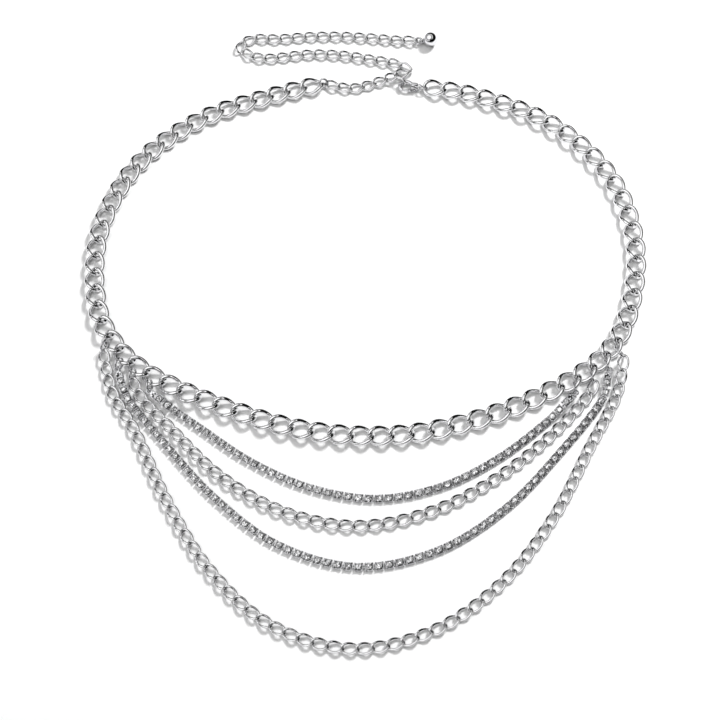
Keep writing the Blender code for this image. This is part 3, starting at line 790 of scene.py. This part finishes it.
def build_extender(pivot, silver):
    """Links to the one that the hook holds, that tilted link, and the free end."""
    shape, height = curb_link(CURB_PITCH, CURB_WIRE, CURB_WIDTH, CURB_STEPS, CURB_SIDES)
    line = hook_line()
    hook = clasp_frame(pivot) @ line[len(line) * 9 // 20]
    pull = level(flat(EXTENDER_ROUTE[POINTS_TO_HOOK]) - hook)
    inside = CURB_PITCH / 2
    link_middle = hook + pull * (inside - HOOK_WIRE / 2)
    link_middle.z = height + HOOKED_LINK_LIFT
    shared = link_middle + pull * (inside - CURB_WIRE / 2)
    bm = bmesh.new()
    across = UP.cross(pull)
    tilt = Matrix.Rotation(HOOKED_LINK_TILT, 3, pull)
    stamp(bm, shape, frame_of(link_middle, pull, tilt @ across))
    start = hang_point(ring_of("ring_extender"), flat(EXTENDER_ROUTE[0]))
    first_end = shared + across * SHARED_LINK_STEP
    second_start = shared - across * SHARED_LINK_STEP
    to_hook = held_line(start, EXTENDER_ROUTE[:POINTS_TO_HOOK], first_end, height)
    end = hang_point(ring_of("ring_ball"), flat(EXTENDER_ROUTE[-1]))
    onward = held_line(second_start, EXTENDER_ROUTE[POINTS_TO_HOOK + 1:], end, height)
    curb_run(bm, shape, to_hook, CURB_PITCH, CURB_WIRE, RING_WIRE, CURB_WIRE)
    curb_run(bm, shape, onward, CURB_PITCH, CURB_WIRE, CURB_WIRE, RING_WIRE)
    links = new_object("extender_links", bm, [silver])
    dress(links, ["extender"])


def build_ball(silver):
    """The end ball, with its collar and eye."""
    low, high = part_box("end_ball")
    ring = ring_of("ring_ball")
    radius = (high.z - low.z) / 2
    centre = Vector((high.x - radius, (low.y + high.y) / 2, low.z + radius))
    place = hang_point(ring, centre)
    way = (place - centre).normalized()
    side = UP.cross(way).normalized()
    bm = bmesh.new()
    made = bmesh.ops.create_uvsphere(bm, u_segments=48, v_segments=32, radius=radius)["verts"]
    bmesh.ops.translate(bm, vec=centre, verts=made)
    collar = [centre + way * (radius + height) for height, _ in COLLAR]
    add_tube(bm, collar, [reach for _, reach in COLLAR], 24)
    add_eye(bm, place, way, side.cross(way))
    dress(new_object("end_ball_polished", bm, [silver], angle=60.0), ["end_ball"])


# Materials

def new_material(name, values):
    """A material, its shader with constants on its sockets, and its links."""
    material = bpy.data.materials.new(name)
    material.use_nodes = True
    shader = material.node_tree.nodes["Principled BSDF"]
    set_inputs(shader, values)
    return material, shader, material.node_tree.links


def set_inputs(node, values):
    for name, value in values.items():
        node.inputs[name].default_value = value


def node_of(material, kind, x, y, values=None):
    node = material.node_tree.nodes.new(kind)
    node.location = (x, y)
    set_inputs(node, values or {})
    return node


def two_tone(material, source, low, high, x, y):
    """A ramp from one place and colour to another, read from a socket."""
    ramp = node_of(material, "ShaderNodeValToRGB", x, y)
    for element, (position, color) in zip(ramp.color_ramp.elements, (low, high)):
        element.position = position
        element.color = (*color, 1.0)
    material.node_tree.links.new(source, ramp.inputs["Fac"])
    return ramp.outputs["Color"]


def multiplied(material, first, second, factor, x, y):
    """One colour darkened by another."""
    blend = node_of(material, "ShaderNodeMix", x, y)
    blend.data_type = "RGBA"
    blend.blend_type = "MULTIPLY"
    blend.inputs["Factor"].default_value = factor
    material.node_tree.links.new(first, blend.inputs["A"])
    material.node_tree.links.new(second, blend.inputs["B"])
    return blend.outputs["Result"]


def make_silver(name, color, roughness, grain, wear):
    """Polished silver-tone plating: cloudy polish, hair scratches, duller hollows, and painted
    shade that darkens the colour where other pieces are near."""
    material, shader, links = new_material(name, {"Metallic": 1.0})
    place = node_of(material, "ShaderNodeTexCoord", -1100, 0).outputs["Object"]

    clouds = node_of(material, "ShaderNodeTexNoise", -900, 200, {"Scale": 220.0, "Detail": 5.0})
    links.new(place, clouds.inputs["Vector"])
    cloudy = [value * (1.0 - wear) for value in color]
    tint = two_tone(material, clouds.outputs["Fac"], (0.30, cloudy), (0.62, color), -650, 300)

    hollow = node_of(material, "ShaderNodeNewGeometry", -900, 500)
    dull = (0.40, (0.72, 0.71, 0.70))
    depth = two_tone(material, hollow.outputs["Pointiness"], dull, (0.50, WHITE), -650, 560)
    worn = multiplied(material, tint, depth, 0.8, -350, 400)

    # Painted shade: ambient occlusion darkens the base colour where other pieces or the table are
    # near, standing in for their shade and dark reflections.
    painted_shade_ao = node_of(
        material, "ShaderNodeAmbientOcclusion", -900, 760, {"Distance": PAINTED_SHADE_DISTANCE})
    painted_shade_ao.samples = 8
    dark = (0.25, (0.42, 0.42, 0.42))
    shade = two_tone(material, painted_shade_ao.outputs["AO"], dark, (0.70, WHITE), -650, 820)
    links.new(multiplied(material, worn, shade, 1.0, -150, 400), shader.inputs["Base Color"])

    stretch = node_of(material, "ShaderNodeMapping", -900, -100, {"Scale": (1.0, 6.0, 2.5)})
    links.new(place, stretch.inputs["Vector"])
    scratches = node_of(
        material, "ShaderNodeTexNoise", -700, -100,
        {"Scale": grain, "Detail": 6.0, "Roughness": 0.65})
    links.new(stretch.outputs["Vector"], scratches.inputs["Vector"])
    polish = node_of(
        material, "ShaderNodeMapRange", -450, 0,
        {"From Min": 0.35, "From Max": 0.70, "To Min": roughness, "To Max": roughness * 2.1})
    links.new(scratches.outputs["Fac"], polish.inputs["Value"])
    links.new(polish.outputs["Result"], shader.inputs["Roughness"])

    bump = node_of(
        material, "ShaderNodeBump", -250, -250, {"Strength": 0.10, "Distance": 0.02 * MM})
    links.new(scratches.outputs["Fac"], bump.inputs["Height"])
    links.new(bump.outputs["Normal"], shader.inputs["Normal"])
    return material


def make_crystal():
    """A rhinestone: a clear polished front over a foiled back, its facets' flashes painted into the
    colour as dark and light cells.
    """
    material, shader, links = new_material("crystal", {
        "Metallic": 0.9, "Coat Weight": 0.6, "Coat IOR": 1.6, "Coat Roughness": 0.02})
    place = node_of(material, "ShaderNodeTexCoord", -900, 0).outputs["Object"]
    painted_reflection_cells = node_of(material, "ShaderNodeTexVoronoi", -700, 100, {"Scale": 1400.0})
    links.new(place, painted_reflection_cells.inputs["Vector"])
    # Painted reflection: random dark and light cells in the colour stand for the flashes of the
    # facets.
    dark, light = (0.02, 0.02, 0.025), (0.97, 0.97, 0.98)
    tint = two_tone(material, painted_reflection_cells.outputs["Color"], (0.0, dark), (0.70, light), -450, 150)
    links.new(tint, shader.inputs["Base Color"])
    haze = node_of(material, "ShaderNodeTexNoise", -700, -200, {"Scale": 900.0})
    links.new(place, haze.inputs["Vector"])
    polish = node_of(
        material, "ShaderNodeMapRange", -450, -200, {"To Min": 0.03, "To Max": 0.12})
    links.new(haze.outputs["Fac"], polish.inputs["Value"])
    links.new(polish.outputs["Result"], shader.inputs["Roughness"])
    bump = node_of(
        material, "ShaderNodeBump", -250, -350, {"Strength": 0.8, "Distance": 0.15 * MM})
    links.new(painted_reflection_cells.outputs["Distance"], bump.inputs["Height"])
    links.new(bump.outputs["Normal"], shader.inputs["Normal"])
    return material


def make_table():
    """A plain white table, a faint mottle in its matt surface."""
    material, shader, links = new_material(
        "white_table", {"Roughness": 0.6, "Specular IOR Level": 0.2})
    mottle = node_of(material, "ShaderNodeTexNoise", -600, 0, {"Scale": 30.0})
    low, high = (0.93, 0.93, 0.93), (0.95, 0.95, 0.95)
    tint = two_tone(material, mottle.outputs["Fac"], (0.0, low), (1.0, high), -350, 0)
    links.new(tint, shader.inputs["Base Color"])
    return material


# Stage, light and camera

def build_stage():
    bm = bmesh.new()
    bmesh.ops.create_grid(bm, x_segments=1, y_segments=1, size=TABLE_SIZE)
    table = new_object("table", bm, [make_table()], smooth=False)


def grey_along(tree, source, direction, stops):
    """Greys along a direction of the room, from places and brightnesses."""
    height = tree.nodes.new("ShaderNodeVectorMath")
    height.operation = "DOT_PRODUCT"
    height.inputs[1].default_value = direction
    tree.links.new(source, height.inputs[0])
    ramp = tree.nodes.new("ShaderNodeValToRGB")
    elements = ramp.color_ramp.elements
    elements.remove(elements[1])
    elements[0].position = stops[0][0]
    elements[0].color = (stops[0][1],) * 3 + (1.0,)
    for position, value in stops[1:]:
        elements.new(position).color = (value,) * 3 + (1.0,)
    tree.links.new(height.outputs["Value"], ramp.inputs["Fac"])
    return ramp.outputs["Color"]


def build_world():
    """A white tent with a dark foot, a dark band higher up and a dark patch in front, which
    polished metal shows as lines."""
    world = bpy.data.worlds.new("studio")
    bpy.context.scene.world = world
    world.use_nodes = True
    tree = world.node_tree
    way = tree.nodes.new("ShaderNodeTexCoord").outputs["Generated"]
    product = tree.nodes.new("ShaderNodeVectorMath")
    product.operation = "MULTIPLY"
    tree.links.new(grey_along(tree, way, ROOM_TILT, ROOM_BY_HEIGHT), product.inputs[0])
    tree.links.new(grey_along(tree, way, FRONT_WAY, FRONT_BY_NEARNESS), product.inputs[1])
    tree.links.new(product.outputs["Vector"], tree.nodes["Background"].inputs["Color"])


def build_key_light():
    """The one lamp, behind at the right. It throws the shadows and isn't mirrored."""
    light = bpy.data.lights.new("key_behind", "AREA")
    light.shape = "DISK"
    light.size = KEY_SIZE
    light.energy = KEY_POWER
    obj = bpy.data.objects.new("key_behind", light)
    obj.location = KEY_PLACE
    obj.rotation_euler = (-KEY_PLACE).to_track_quat("-Z", "Y").to_euler()
    obj.visible_glossy = False
    bpy.context.scene.collection.objects.link(obj)


def build_light():
    build_world()
    build_key_light()
    bpy.context.scene.view_settings.view_transform = "Standard"


def build_camera():
    camera = bpy.data.cameras.new("photo_camera")
    camera.sensor_width = SENSOR_MM
    camera.lens = SENSOR_MM * FOCAL_LENGTH_PX / PHOTO_PX
    camera.clip_start = 0.01
    obj = bpy.data.objects.new("photo_camera", camera)
    away = Vector((0.0, -math.cos(VIEW_ELEVATION), math.sin(VIEW_ELEVATION)))
    obj.location = AIM + away * VIEW_DISTANCE
    obj.rotation_euler = (math.pi / 2 - VIEW_ELEVATION, 0.0, 0.0)
    bpy.context.scene.collection.objects.link(obj)
    bpy.context.scene.camera = obj


def main():
    clear_scene()
    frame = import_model()
    polished, fine, bright, cup_silver = (
        make_silver(name, *look) for name, look in SILVERS.items())
    crystal = make_crystal()
    pivot = Vector(frame["joints"][0]["pos_m"])

    build_main_chain(polished)
    for node in sorted(frame["nodes"]):
        if node.startswith("ring_"):
            build_ring(node, bright)
    for strand in STRAND_ROUTES:
        if strand in CUP_STRANDS:
            build_cup_strand(strand, cup_silver, crystal)
        else:
            build_curb_strand(strand, fine)
    build_clasp(pivot, bright)
    build_extender(pivot, fine)
    build_ball(bright)

    build_stage()
    build_light()
    build_camera()


main()
